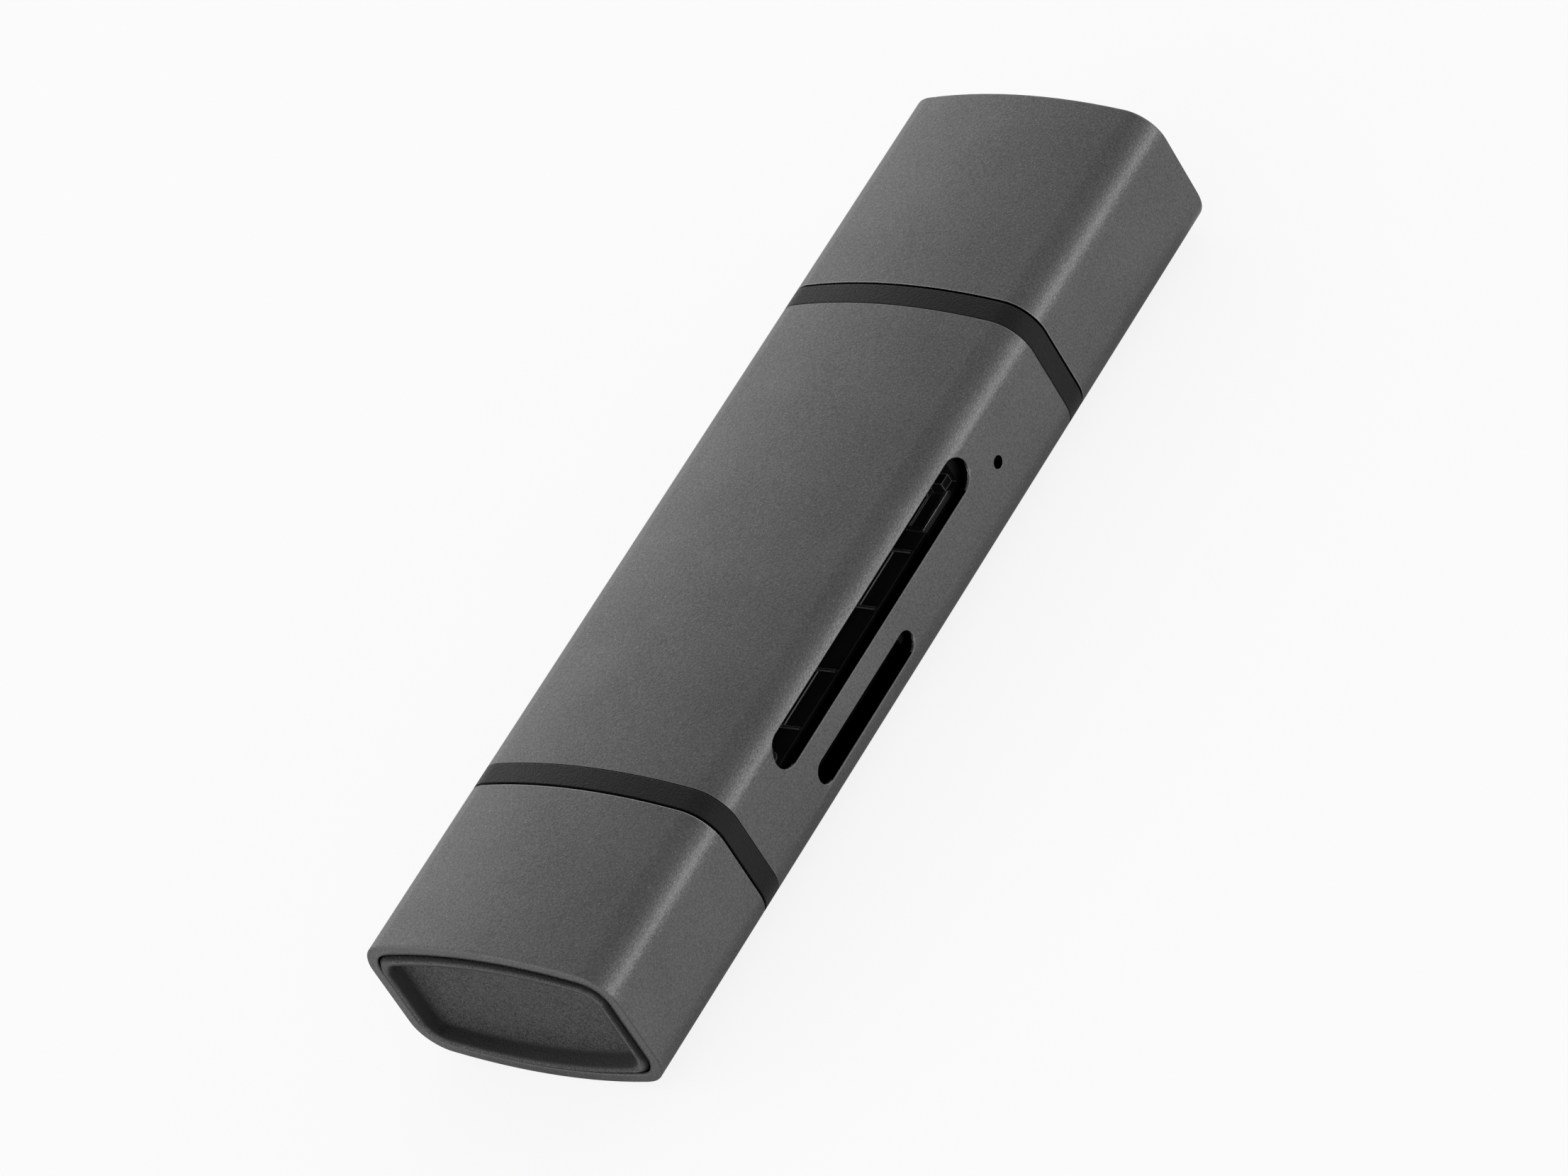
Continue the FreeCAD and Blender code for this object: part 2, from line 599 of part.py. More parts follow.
def usb_a_plug_tongue():
    """Moulded tongue under the plug's open side, with a block behind that carries both sets of contacts."""
    gap = USB_A_SHEET + FIT_CLEARANCE
    ends = (USB_A.outward(USB_A.plug_rear, FIT_CLEARANCE), USB_A.inward(USB_A.plug_tip, USB_A_TONGUE_SETBACK))
    tongue = bar(ends, USB_A_WIDTH - 2 * gap, USB_A_HEIGHT - 2 * gap, USB_A_CORNER - USB_A_SHEET)
    widths = (-HALF_WIDTH, HALF_WIDTH)
    open_side = block((USB_A_BLOCK_FRONT, USB_A.plug_tip), widths, (TONGUE_TOP, THICKNESS))
    cuts = [open_side]
    for y, setback in usb_a_pin_rows():
        groove_ends = (USB_A.plug_rear - THROUGH, USB_A.inward(USB_A.plug_tip, setback))
        groove_heights = (BOARD_TOP, TONGUE_TOP + FIT_CLEARANCE)
        cuts.append(block(groove_ends, about(y, USB_A_PIN_WIDTH + 2 * FIT_CLEARANCE), groove_heights))
    for y in row(USB_A_FAST_COUNT, USB_A_FAST_PITCH):
        tunnel_ends = (USB_A.plug_rear - THROUGH, USB_A_BLOCK_FRONT + THROUGH)
        tunnel_heights = about(USB_A_FAST_Z, USB_A_PIN_THICKNESS + 2 * FIT_CLEARANCE)
        cuts.append(block(tunnel_ends, about(y, USB_A_FAST_WIDTH + 2 * FIT_CLEARANCE), tunnel_heights))
    return tongue.cut(cuts)


def usb_a_front_contacts():
    """Four flat contacts let into the tongue, running straight back on to the board."""
    landing = USB_A.inward(BOARD_A_EDGE, USB_A_PIN_LANDING)
    return [block((landing, USB_A.inward(USB_A.plug_tip, setback)), about(y, USB_A_PIN_WIDTH),
                  (BOARD_TOP, TONGUE_TOP))
            for y, setback in usb_a_pin_rows()]


def usb_a_rear_contacts():
    """Five spring contacts that stand out of the block over the tongue and step down on to the board."""
    land_z = BOARD_TOP + USB_A_PIN_THICKNESS / 2
    step = USB_A.inward(USB_A.plug_rear, USB_A_STEP)
    foot = USB_A.inward(step, USB_A_FAST_RISE)
    nose = USB_A.outward(USB_A_BLOCK_FRONT, USB_A_FAST_NOSE)
    dip = USB_A.outward(USB_A_BLOCK_FRONT, USB_A_FAST_NOSE / 2)
    path = [(USB_A.inward(USB_A.plug_rear, USB_A_CONTACT_RUN), land_z), (foot, land_z), (step, USB_A_FAST_Z),
            (USB_A_BLOCK_FRONT, USB_A_FAST_Z), (dip, USB_A_FAST_Z - USB_A_FAST_DIP),
            (nose, USB_A_FAST_Z - USB_A_FAST_DIP / 2)]
    return [strip(path, USB_A_PIN_THICKNESS, USB_A_FAST_WIDTH, lambda x, z: Vector(x, y, z), Vector(0, 1, 0))
            for y in row(USB_A_FAST_COUNT, USB_A_FAST_PITCH)]


# USB-C plug
def usb_c_plug_shell():
    """Drawn steel shell of stadium section, its lip bevelled."""
    shell = USB_C.plug_bar(0)
    shell = shell.makeChamfer(USB_C_TIP_CHAMFER, edges_at_x(shell, USB_C.plug_tip))
    ends = (USB_C.plug_tip - THROUGH, USB_C.plug_rear + THROUGH)
    inner_height = USB_C_HEIGHT - 2 * USB_C_SHEET
    return shell.cut(bar(ends, USB_C_WIDTH - 2 * USB_C_SHEET, inner_height, inner_height / 2))


def usb_c_plug_insulator():
    """Moulded filling of the shell: a flat mouth, contact channels over and under it, latches beside."""
    gap = USB_C_SHEET + FIT_CLEARANCE
    front = USB_C.inward(USB_C.plug_tip, USB_C_INSULATOR_SETBACK)
    height = USB_C_HEIGHT - 2 * gap
    solid = bar((front, USB_C_INSULATOR_REAR), USB_C_WIDTH - 2 * gap, height, height / 2)
    mouth_end = USB_C.inward(front, USB_C_MOUTH_DEPTH)
    mouth = bar((USB_C.plug_tip, mouth_end), USB_C_MOUTH_WIDTH, USB_C_MOUTH_HEIGHT, USB_C_MOUTH_CORNER)
    channel_start = USB_C.inward(USB_C.plug_tip, USB_C_PIN_SETBACK - FIT_CLEARANCE)
    channel_ends = (channel_start, USB_C.inward(USB_C_INSULATOR_REAR, THROUGH))
    channel_top = USB_C_PIN_LIFT + USB_C_PIN_THICKNESS / 2 + FIT_CLEARANCE
    channel_bottom = USB_C_MOUTH_HEIGHT / 2 - FIT_CLEARANCE
    cuts = [mouth]
    for over in (1, -1):
        heights = (MID_Z + over * channel_bottom, MID_Z + over * channel_top)
        for y in row(USB_C_PIN_COUNT, USB_C_PIN_PITCH):
            cuts.append(block(channel_ends, about(y, USB_C_PIN_WIDTH + 2 * FIT_CLEARANCE), heights))
    latch_end = USB_C.inward(channel_start, USB_C_LATCH_LENGTH + 2 * FIT_CLEARANCE)
    latch_half = USB_C_MOUTH_WIDTH / 2 + 2 * USB_C_PIN_THICKNESS
    latch_heights = about(MID_Z, USB_C_LATCH_HEIGHT + 2 * FIT_CLEARANCE)
    cuts.append(block((channel_start, latch_end), (-latch_half, latch_half), latch_heights))
    return solid.cut(cuts)


def usb_c_contacts(over):
    """A row of twelve spring contacts, over (1) or under (-1) the mouth, ending on that face of the board."""
    tip = USB_C.inward(USB_C.plug_tip, USB_C_PIN_SETBACK)
    lift = MID_Z + over * USB_C_PIN_LIFT
    bulge = MID_Z + over * (USB_C_PIN_LIFT - USB_C_PIN_BULGE)
    board_face = BOARD_TOP if over > 0 else BOARD_BOTTOM
    land_z = board_face + over * USB_C_PIN_THICKNESS / 2
    riser = USB_C.inward(USB_C_INSULATOR_REAR, BOARD_TO_PLUG / 2)
    path = [(tip, lift), (USB_C.inward(tip, USB_C_PIN_BOW), bulge),
            (USB_C.inward(tip, 2 * USB_C_PIN_BOW), lift), (riser, lift), (riser, land_z),
            (USB_C.inward(BOARD_C_EDGE, USB_C_PIN_LANDING), land_z)]
    return [strip(path, USB_C_PIN_THICKNESS, USB_C_PIN_WIDTH, lambda x, z: Vector(x, y, z), Vector(0, 1, 0))
            for y in row(USB_C_PIN_COUNT, USB_C_PIN_PITCH)]


def usb_c_latch_springs():
    """Two side springs of the plug, bowed in to catch the socket's tongue."""
    start = USB_C.inward(USB_C.plug_tip, USB_C_PIN_SETBACK)
    rest = USB_C_MOUTH_WIDTH / 2 + USB_C_PIN_THICKNESS
    bow = rest - USB_C_PIN_BULGE - USB_C_PIN_THICKNESS
    springs = []
    for side in (-1, 1):
        path = [(start, side * rest), (USB_C.inward(start, USB_C_PIN_BOW), side * bow),
                (USB_C.inward(start, 2 * USB_C_PIN_BOW), side * rest),
                (USB_C.inward(start, USB_C_LATCH_LENGTH), side * rest)]
        springs.append(strip(path, USB_C_PIN_THICKNESS, USB_C_LATCH_HEIGHT, lambda x, y: Vector(x, y, MID_Z),
                             Vector(0, 0, 1)))
    return springs


# Card sockets
def socket_base(socket, pins, pin_width, reach):
    """Moulded tray of a socket: floor, side walls and back wall, with a window for each contact spring."""
    depth = (socket.front, socket.rear)
    tray = block(socket.across(socket.outer), depth, socket.heights(0, socket.roof))
    channel_depth = (socket.front - THROUGH, socket.rear - socket.back_wall)
    channel = block(socket.across(socket.inner), channel_depth, socket.heights(socket.floor, socket.top))
    cuts = [channel]
    window_depth = (socket.rear - socket.back_wall - reach, socket.rear + THROUGH)
    for place in pins:
        window_width = about(socket.x + place, pin_width + 2 * PIN_SIDE_ROOM)
        cuts.append(block(window_width, window_depth, socket.heights(0, socket.floor)))
    return tray.cut(cuts)


def socket_cover(socket):
    """Sheet steel cover folded over a socket's side walls, with two rows of lightening windows."""
    depth = (socket.front + COVER_SETBACK, socket.rear)
    outside_heights = socket.heights(COVER_TO_BOARD, socket.top)
    outside = block(socket.across(socket.outer + socket.sheet), depth, outside_heights)
    bends = [edge for edge in outside.Edges
             if abs(edge.CenterOfMass.z - socket.z(socket.top)) < socket.sheet / 2
             and abs(abs(edge.CenterOfMass.x - socket.x) - socket.outer - socket.sheet) < socket.sheet / 2]
    outside = outside.makeFillet(socket.sheet, bends)
    inside_depth = (socket.front - THROUGH, socket.rear + THROUGH)
    inside = block(socket.across(socket.outer), inside_depth, socket.heights(-THROUGH, socket.roof))
    middle = (socket.front + socket.rear) / 2
    window_heights = socket.heights(socket.floor, socket.top + THROUGH)
    windows = [block(about(socket.x + side * socket.inner / 2, COVER_WINDOW_WIDTH),
                     about(middle, COVER_WINDOW_LENGTH), window_heights) for side in (-1, 1)]
    return outside.cut([inside] + windows)


def socket_contacts(socket, pins, pin_width, thickness, reach, tail):
    """Contact springs of a socket: a tail on the board, a beam through its window and a bent nose."""
    foot = thickness / 2
    bend = socket.rear - socket.back_wall
    nose = bend - reach + PIN_SIDE_ROOM
    peak = nose + PIN_NOSE
    path = [(socket.rear + tail, foot), (bend, foot), (peak, socket.floor + PIN_LIFT), (nose, socket.floor)]
    heights = [(y, socket.z(height)) for y, height in path]
    return [strip(heights, thickness, pin_width, lambda y, z: Vector(socket.x + place, y, z), Vector(1, 0, 0))
            for place in pins]


def sd_socket_base():
    """The SD tray, with side rails under the card's thin edges, floor ridges, pads and a spring pocket."""
    tray = socket_base(SD, SD_PINS, SD_PIN_WIDTH, SD_PIN_REACH)
    back = SD.rear - SD.back_wall
    rail_front = SD.front + SD_RAIL_SETBACK
    extras = []
    for side in (-1, 1):
        inner = SD_X + side * (SD.inner - SD_RAIL_WIDTH)
        rail = block((SD_X + side * SD.inner, inner), (rail_front, back),
                     SD.heights(SD_FLOOR, SD_FLOOR + SD_RAIL_HEIGHT))
        corners = [edge for edge in rail.Edges
                   if all(abs(v.X - inner) < NEAR and abs(v.Y - rail_front) < NEAR
                          for v in edge.Vertexes)]
        extras.append(rail.makeFillet(SD_RAIL_CORNER, corners))
        middle = SD_X + SD_RIDGE_MIDDLE
        for beside in (SD_RIDGE_INNER, SD_RIDGE_OUTER):
            extras.append(block(about(middle + side * beside, SD_RIDGE_WIDTH),
                                (SD.front, SD.front + SD_RIDGE_LENGTH),
                                SD.heights(SD_FLOOR, SD_FLOOR + SD_RIDGE_HEIGHT)))
        pad_ends = (middle + side * (SD_RIDGE_INNER + SD_RIDGE_WIDTH),
                    middle + side * (SD_RIDGE_OUTER - SD_RIDGE_WIDTH))
        extras.append(block(pad_ends, (SD.front + SD_PAD_SETBACK, SD.front + SD_RIDGE_LENGTH),
                            SD.heights(SD_FLOOR, SD_FLOOR + SD_PAD_HEIGHT)))
    spring_middle = SD_X + SD_SPRING_START + SD_SPRING_LENGTH / 2
    pocket_width = about(spring_middle, SD_SPRING_LENGTH + 2 * FIT_CLEARANCE)
    pocket_depth = (SD.front - THROUGH, SD.front + SD_SPRING_SETBACK + SD_SPRING_LEG + FIT_CLEARANCE)
    pocket_heights = SD.heights(SD_FLOOR - SD_SPRING_SUNK, SD_FLOOR + SD_RAIL_HEIGHT)
    pocket = block(pocket_width, pocket_depth, pocket_heights)
    return tray.fuse(extras).removeSplitter().cut(pocket)


def sd_switch_spring():
    """U-shaped spring of the card switch, let into the tray's floor at the mouth."""
    start = SD_X + SD_SPRING_START
    end = start + SD_SPRING_LENGTH
    front = SD.front + SD_SPRING_SETBACK
    back = front + SD_SPRING_LEG
    heights = SD.heights(SD_FLOOR - SD_SPRING_SUNK, SD_FLOOR - SD_SPRING_SUNK + SD_SPRING_THICKNESS)
    spring = block((start, end), (front, front + SD_SPRING_WIDTH), heights)
    legs = [block((start, start + SD_SPRING_WIDTH), (front, back), heights),
            block((end - SD_SPRING_WIDTH, end), (front, back), heights)]
    return spring.fuse(legs).removeSplitter()


# Small parts on the board
CHIP_X = MICROSD_X + MICROSD.outer + MICROSD_SHEET + CHIP_TO_SOCKET + CHIP_SIZE / 2
SMALL_X = CHIP_X + CHIP_SIZE / 2 + SMALL_PART_GAP


def under_board(x, y, length, width, height):
    """A block hanging under the board."""
    return block(about(x, length), about(y, width), (BOARD_BOTTOM - height, BOARD_BOTTOM))


def reader_chip():
    """Flat leadless chip with bevelled lower edges and a dimple at its first pin."""
    low = BOARD_BOTTOM - CHIP_HEIGHT
    chip = under_board(CHIP_X, 0, CHIP_SIZE, CHIP_SIZE, CHIP_HEIGHT)
    rim = [edge for edge in chip.Edges if all(abs(v.Z - low) < CHIP_CHAMFER / 2 for v in edge.Vertexes)]
    chip = chip.makeChamfer(CHIP_CHAMFER, rim)
    from_middle = CHIP_SIZE / 2 - 2 * CHIP_DIMPLE
    start = Vector(CHIP_X - from_middle, -from_middle, low)
    return chip.cut(Part.makeCylinder(CHIP_DIMPLE / 2, CHIP_DIMPLE_DEPTH, start))


def crystal():
    """Metal can of the crystal, round at its upright edges."""
    x = SMALL_X + CRYSTAL_LENGTH / 2
    can = under_board(x, 0, CRYSTAL_LENGTH, CRYSTAL_WIDTH, CRYSTAL_HEIGHT)
    upright = [edge for edge in can.Edges if abs(edge.BoundBox.ZLength - CRYSTAL_HEIGHT) < NEAR]
    return can.makeFillet(CRYSTAL_CORNER, upright)


def voltage_regulator():
    """Small moulded regulator with two leads on one side and three on the other."""
    x = SMALL_X + REGULATOR_LENGTH / 2
    y = CRYSTAL_WIDTH / 2 + SMALL_PART_GAP + REGULATOR_LEAD_LENGTH + REGULATOR_WIDTH / 2
    solid = under_board(x, y, REGULATOR_LENGTH, REGULATOR_WIDTH, REGULATOR_HEIGHT)
    reach = REGULATOR_WIDTH / 2 + REGULATOR_LEAD_LENGTH
    leads = []
    for place in row(3, REGULATOR_LEAD_PITCH):
        leads.append(block(about(x + place, REGULATOR_LEAD_WIDTH), (y, y + reach),
                           (BOARD_BOTTOM - REGULATOR_LEAD_THICKNESS, BOARD_BOTTOM)))
    for place in row(2, 2 * REGULATOR_LEAD_PITCH):
        leads.append(block(about(x + place, REGULATOR_LEAD_WIDTH), (y - reach, y),
                           (BOARD_BOTTOM - REGULATOR_LEAD_THICKNESS, BOARD_BOTTOM)))
    return solid.fuse(leads).removeSplitter()


def chip_capacitors():
    """A row of capacitors beside the reader chip, on the side of the slots."""
    y = -CHIP_SIZE / 2 - SMALL_PART_GAP - CAPACITOR_WIDTH / 2
    return [under_board(CHIP_X + place, y, CAPACITOR_LENGTH, CAPACITOR_WIDTH, CAPACITOR_WIDTH)
            for place in row(CAPACITOR_COUNT, CAPACITOR_PITCH)]


def chip_resistors():
    """A row of resistors beside the reader chip, on the side away from the slots."""
    y = CHIP_SIZE / 2 + SMALL_PART_GAP + RESISTOR_LENGTH / 2
    return [under_board(CHIP_X + place, y, RESISTOR_WIDTH, RESISTOR_LENGTH, RESISTOR_HEIGHT)
            for place in row(RESISTOR_COUNT, RESISTOR_PITCH)]


def status_lamp():
    """Chip lamp at the edge of the board behind the lamp hole, with a narrower lens on its base."""
    front = -BOARD_HALF_WIDTH + LAMP_SETBACK
    depth = (front, front + LAMP_DEPTH)
    base = block(about(LAMP_X, LAMP_LENGTH), depth, (BOARD_TOP, BOARD_TOP + LAMP_HEIGHT / 2))
    lens = block(about(LAMP_X, LAMP_LENGTH - LAMP_LENS), depth, (BOARD_TOP, BOARD_TOP + LAMP_HEIGHT))
    return base.fuse(lens).removeSplitter()


USB_A_GROOVE_END = USB_A.outward(USB_A.plug_rear, BOARD_ARM_LAP + BOARD_CLEARANCE)
USB_C_GROOVE_END = USB_C.outward(BOARD_C_EDGE, BOARD_CLEARANCE)

PIECES = {
    "body_sleeve": body_sleeve(),
    "usb_a_end_frame": end_frame(USB_A, USB_A_GROOVE_END),
    "usb_c_end_frame": end_frame(USB_C, USB_C_GROOVE_END),
    "usb_a_cap_shell": cap_shell(USB_A),
    "usb_c_cap_shell": cap_shell(USB_C),
    "usb_a_cap_insert": cap_insert(USB_A),
    "usb_c_cap_insert": cap_insert(USB_C),
    "main_board": main_board(),
    "usb_a_plug_shell": usb_a_plug_shell(),
    "usb_a_plug_tongue": usb_a_plug_tongue(),
    "usb_a_front_contacts": usb_a_front_contacts(),
    "usb_a_rear_contacts": usb_a_rear_contacts(),
    "usb_c_plug_shell": usb_c_plug_shell(),
    "usb_c_plug_insulator": usb_c_plug_insulator(),
    "usb_c_upper_contacts": usb_c_contacts(1),
    "usb_c_lower_contacts": usb_c_contacts(-1),
    "usb_c_latch_springs": usb_c_latch_springs(),
    "sd_socket_base": sd_socket_base(),
    "sd_socket_cover": socket_cover(SD),
    "sd_contacts": socket_contacts(SD, SD_PINS, SD_PIN_WIDTH, SD_PIN_THICKNESS, SD_PIN_REACH, SD_PIN_TAIL),
    "sd_switch_spring": sd_switch_spring(),
    "microsd_socket_base": socket_base(MICROSD, MICROSD_PINS, MICROSD_PIN_WIDTH, MICROSD_PIN_REACH),
    "microsd_socket_cover": socket_cover(MICROSD),
    "microsd_contacts": socket_contacts(MICROSD, MICROSD_PINS, MICROSD_PIN_WIDTH, MICROSD_PIN_THICKNESS,
                                        MICROSD_PIN_REACH, MICROSD_PIN_TAIL),
    "reader_chip": reader_chip(),
    "crystal": crystal(),
    "voltage_regulator": voltage_regulator(),
    "chip_capacitors": chip_capacitors(),
    "chip_resistors": chip_resistors(),
    "status_lamp": status_lamp(),
}

os.makedirs("parts", exist_ok=True)
for name, piece in PIECES.items():
    shape = Part.makeCompound(piece) if isinstance(piece, list) else piece
    shape.exportStep("parts/" + name + ".step")
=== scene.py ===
import json
import math

import bpy
from mathutils import Matrix, Vector


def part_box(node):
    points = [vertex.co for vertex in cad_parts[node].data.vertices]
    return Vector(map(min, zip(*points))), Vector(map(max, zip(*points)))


# A pocket card reader with both caps on, lying on a white table, seen from above its slot side.
# Metres, in the frame of the CAD part: X along the reader, the slots face -Y, Z up from the table.

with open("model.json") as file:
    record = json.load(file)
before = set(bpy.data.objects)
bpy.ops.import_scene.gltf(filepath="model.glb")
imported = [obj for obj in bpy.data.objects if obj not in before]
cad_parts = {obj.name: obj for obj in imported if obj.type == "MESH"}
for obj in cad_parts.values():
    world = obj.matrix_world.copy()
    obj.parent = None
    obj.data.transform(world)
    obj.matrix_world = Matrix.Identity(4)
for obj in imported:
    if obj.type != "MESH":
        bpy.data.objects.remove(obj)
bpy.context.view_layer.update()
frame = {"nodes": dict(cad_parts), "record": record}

MM = 0.001

# Camera, found from the edges of the reader in the photograph
PHOTO_WIDTH_PX = 2212
FOCAL_LENGTH_PX = 12826.8
SENSOR_WIDTH_MM = 36.0
CAMERA_AZIMUTH = -36.770
CAMERA_ELEVATION = 37.568
CAMERA_ROLL = -33.007
CAMERA_DISTANCE = 580.57 * MM
CAMERA_NEAR_LIMIT = CAMERA_DISTANCE / 100
CAMERA_TARGET = Vector((-1.010, 0.421, 5.652)) * MM

# Studio: a bright horizon that fades to a dimmer ceiling, brighter and fading faster in front of the reader
HORIZON_LIGHT = 2.25
HORIZON_BEHIND = -0.45
CEILING_LIGHT = 0.56
FADE = 2.1
FADE_BEHIND = -1.3

# White table, whose reflection darkens close to the reader, and a backdrop as pale as the table
FLOOR_SIZE = 0.24
FLOOR_WHITE = 0.9
FLOOR_GLOW = 0.86
BACKDROP_WHITE = 0.957
CONTACT_REACH = 6 * MM
CONTACT_SHADE = 2.0

# Painted shade on the walls of the milled openings, drawn black: kept this far inside the sleeve's box, and
# this square to its side
MILLED_SHADE_BLACK = 0.003
MILLED_MARGIN = 1.2 * MM
MILLED_SLANT = 0.3

# Painted highlight on the SD tray's edges, from this far behind its mouth
HIGHLIGHT_SETBACK = 0.15 * MM

# Ends of the caps: the shells' edges are rounder there and carry painted shade in place of the painted
# highlight, and the dishes of the inserts have a crisp rim with a painted highlight and a soft foot left in
# painted shade
END_ZONE = 0.8 * MM
EDGE_ROUND = 0.1 * MM
END_ROUND = 0.3 * MM
DISH_DEPTH = 1.05 * MM
RIM_HIGHLIGHT_DEPTH = 0.3 * MM
RIM_ROUND = 0.25 * MM
FOOT_ROUND = 0.65 * MM

# Smoothing of the CAD meshes
WELD_DISTANCE = 0.001 * MM
SHARP_ANGLE = math.radians(50)
FLAT_ANGLE = math.radians(0.5)
FLAT_FACE_WEIGHT = 100

# The usual range of noise
NOISE_LOW = 0.25
NOISE_HIGH = 0.75

# An edge starts to show, and shows in full, where rounding turns the normal by the angles of these cosines
EDGE_START = 0.998
EDGE_FULL = 0.95

# Samples of the nodes that look round a point
NEARBY_SAMPLES = 4

# Sockets of a Mix node that blends colours
COLOUR_A = 6
COLOUR_B = 7
COLOUR_RESULT = 2


def put(tree, socket, value):
    """Give a socket a value, or join it to another node's output."""
    if isinstance(value, bpy.types.NodeSocket):
        tree.links.new(value, socket)
    else:
        socket.default_value = value


def math_node(tree, operation, *values):
    """The result of an operation on given or joined values."""
    node = tree.nodes.new("ShaderNodeMath")
    node.operation = operation
    for socket, value in zip(node.inputs, values):
        put(tree, socket, value)
    return node.outputs[0]


class Look:
    """A material under construction: its node tree, its shader and short ways to add nodes."""

    def __init__(self, name, **sockets):
        self.material = bpy.data.materials.new(name)
        self.material.use_nodes = True
        self.tree = self.material.node_tree
        self.shader = self.tree.nodes["Principled BSDF"]
        coordinates = self.add("ShaderNodeTexCoord")
        self.place = coordinates.outputs["Object"]
        self.facing = coordinates.outputs["Normal"]
        for socket, value in sockets.items():
            self.shader.inputs[socket.replace("_", " ")].default_value = value

    def add(self, kind, **settings):
        """A new node with the given settings."""
        node = self.tree.nodes.new(kind)
        for name, value in settings.items():
            setattr(node, name, value)
        return node

    def put(self, socket, value):
        """Give a socket a value, or join it to another node's output."""
        put(self.tree, socket, value)

    def math(self, operation, *values):
        """The result of an operation on given or joined values."""
        return math_node(self.tree, operation, *values)

    def noise(self, size, detail=2.0, stretch=(1, 1, 1)):
        """Noise whose grains are about size metres across, drawn out along the axes by stretch."""
        mapping = self.add("ShaderNodeMapping")
        mapping.inputs["Scale"].default_value = [1 / (size * along) for along in stretch]
        self.put(mapping.inputs["Vector"], self.place)
        noise = self.add("ShaderNodeTexNoise")
        noise.inputs["Scale"].default_value = 1.0
        noise.inputs["Detail"].default_value = detail
        self.put(noise.inputs["Vector"], mapping.outputs["Vector"])
        return noise.outputs["Fac"]

    def spread(self, value, low=0.0, high=1.0, start=NOISE_LOW, end=NOISE_HIGH):
        """A value brought from between start and end to between low and high."""
        node = self.add("ShaderNodeMapRange")
        for name, limit in zip(("From Min", "From Max", "To Min", "To Max"), (start, end, low, high)):
            node.inputs[name].default_value = limit
        self.put(node.inputs["Value"], value)
        return node.outputs["Result"]

    def total(self, first, second, share):
        """The first value plus a share of the second."""
        return self.math("MULTIPLY_ADD", second, share, first)

    def mottle(self, fine, broad, share):
        """A tone from 0 to 1 that follows a fine noise, with a share taken from a broad one."""
        return self.total(self.spread(fine, high=1 - share), self.spread(broad), share)

    def colours(self, value, first, second):
        """A blend between two colours, given or joined, by a value from 0 to 1."""
        node = self.add("ShaderNodeMix", data_type="RGBA")
        self.put(node.inputs["Factor"], value)
        for index, colour in ((COLOUR_A, first), (COLOUR_B, second)):
            self.put(node.inputs[index], (*colour, 1.0) if isinstance(colour, tuple) else colour)
        return node.outputs[COLOUR_RESULT]

    def axes(self, vector):
        """The three parts of a vector."""
        node = self.add("ShaderNodeSeparateXYZ")
        self.put(node.inputs[0], vector)
        return node.outputs

    def outward(self):
        """The distance from the middle of the reader along X."""
        return self.math("ABSOLUTE", self.axes(self.place)["X"])

    def rounded(self, radius):
        """The normal with the edges of the shape rounded by radius."""
        node = self.add("ShaderNodeBevel", samples=NEARBY_SAMPLES)
        self.put(node.inputs["Radius"], radius)
        return node.outputs["Normal"]

    def edges(self, radius):
        """1 on edges of the shape within radius, 0 on flat faces."""
        turn = self.add("ShaderNodeVectorMath", operation="DOT_PRODUCT")
        self.put(turn.inputs[0], self.rounded(radius))
        self.put(turn.inputs[1], self.add("ShaderNodeNewGeometry").outputs["Normal"])
        return self.spread(turn.outputs["Value"], start=EDGE_START, end=EDGE_FULL)

    def paint(self, colour, roughness, height, depth, edge):
        """Join colour and roughness to the shader, and a bump of a depth over edges rounded by edge."""
        self.put(self.shader.inputs["Base Color"], colour)
        self.put(self.shader.inputs["Roughness"], roughness)
        bump = self.add("ShaderNodeBump")
        bump.inputs["Distance"].default_value = depth
        self.put(bump.inputs["Height"], height)
        self.put(bump.inputs["Normal"], self.rounded(edge))
        self.put(self.shader.inputs["Normal"], bump.outputs["Normal"])
        return self.material


def grey(value):
    """A neutral colour."""
    return value, value, value


# Aluminium
def anodised(name, edge_highlight_colour):
    """Bead-blasted grey aluminium with a fine grain and small bright flecks; painted highlight and shade on
    the edges, black painted shade in the milled walls.
    """
    look = Look(name, Metallic=1.0, Specular_Tint=(*grey(0.68), 1.0))
    dark, light, bright, end_edge_shade = grey(0.074), grey(0.16), grey(0.24), grey(0.085)
    grain = look.noise(0.14 * MM, detail=3.0)
    flecks = look.noise(0.09 * MM, detail=1.0)
    clouds = look.noise(6 * MM)
    colour = look.colours(look.mottle(grain, clouds, share=0.2), dark, light)
    colour = look.colours(look.spread(flecks, start=0.62, end=0.8), colour, bright)
    at_end = look.math("GREATER_THAN", look.outward(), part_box("usb_a_cap_shell")[1].x - END_ZONE)
    # Painted highlight on the edges, and painted shade on the edges at the caps' ends
    colour = look.colours(look.edges(EDGE_ROUND), colour, look.colours(at_end, edge_highlight_colour, end_edge_shade))
    # Painted shade: the walls milled through the sleeve drawn black
    colour = look.colours(milled_wall_shade(look), colour, grey(MILLED_SHADE_BLACK))
    roughness = look.spread(flecks, 0.22, 0.31)
    height = look.total(grain, flecks, share=0.5)
    edge = look.spread(at_end, EDGE_ROUND, END_ROUND, start=0.0, end=1.0)
    return look.paint(colour, roughness, height, depth=0.018 * MM, edge=edge)


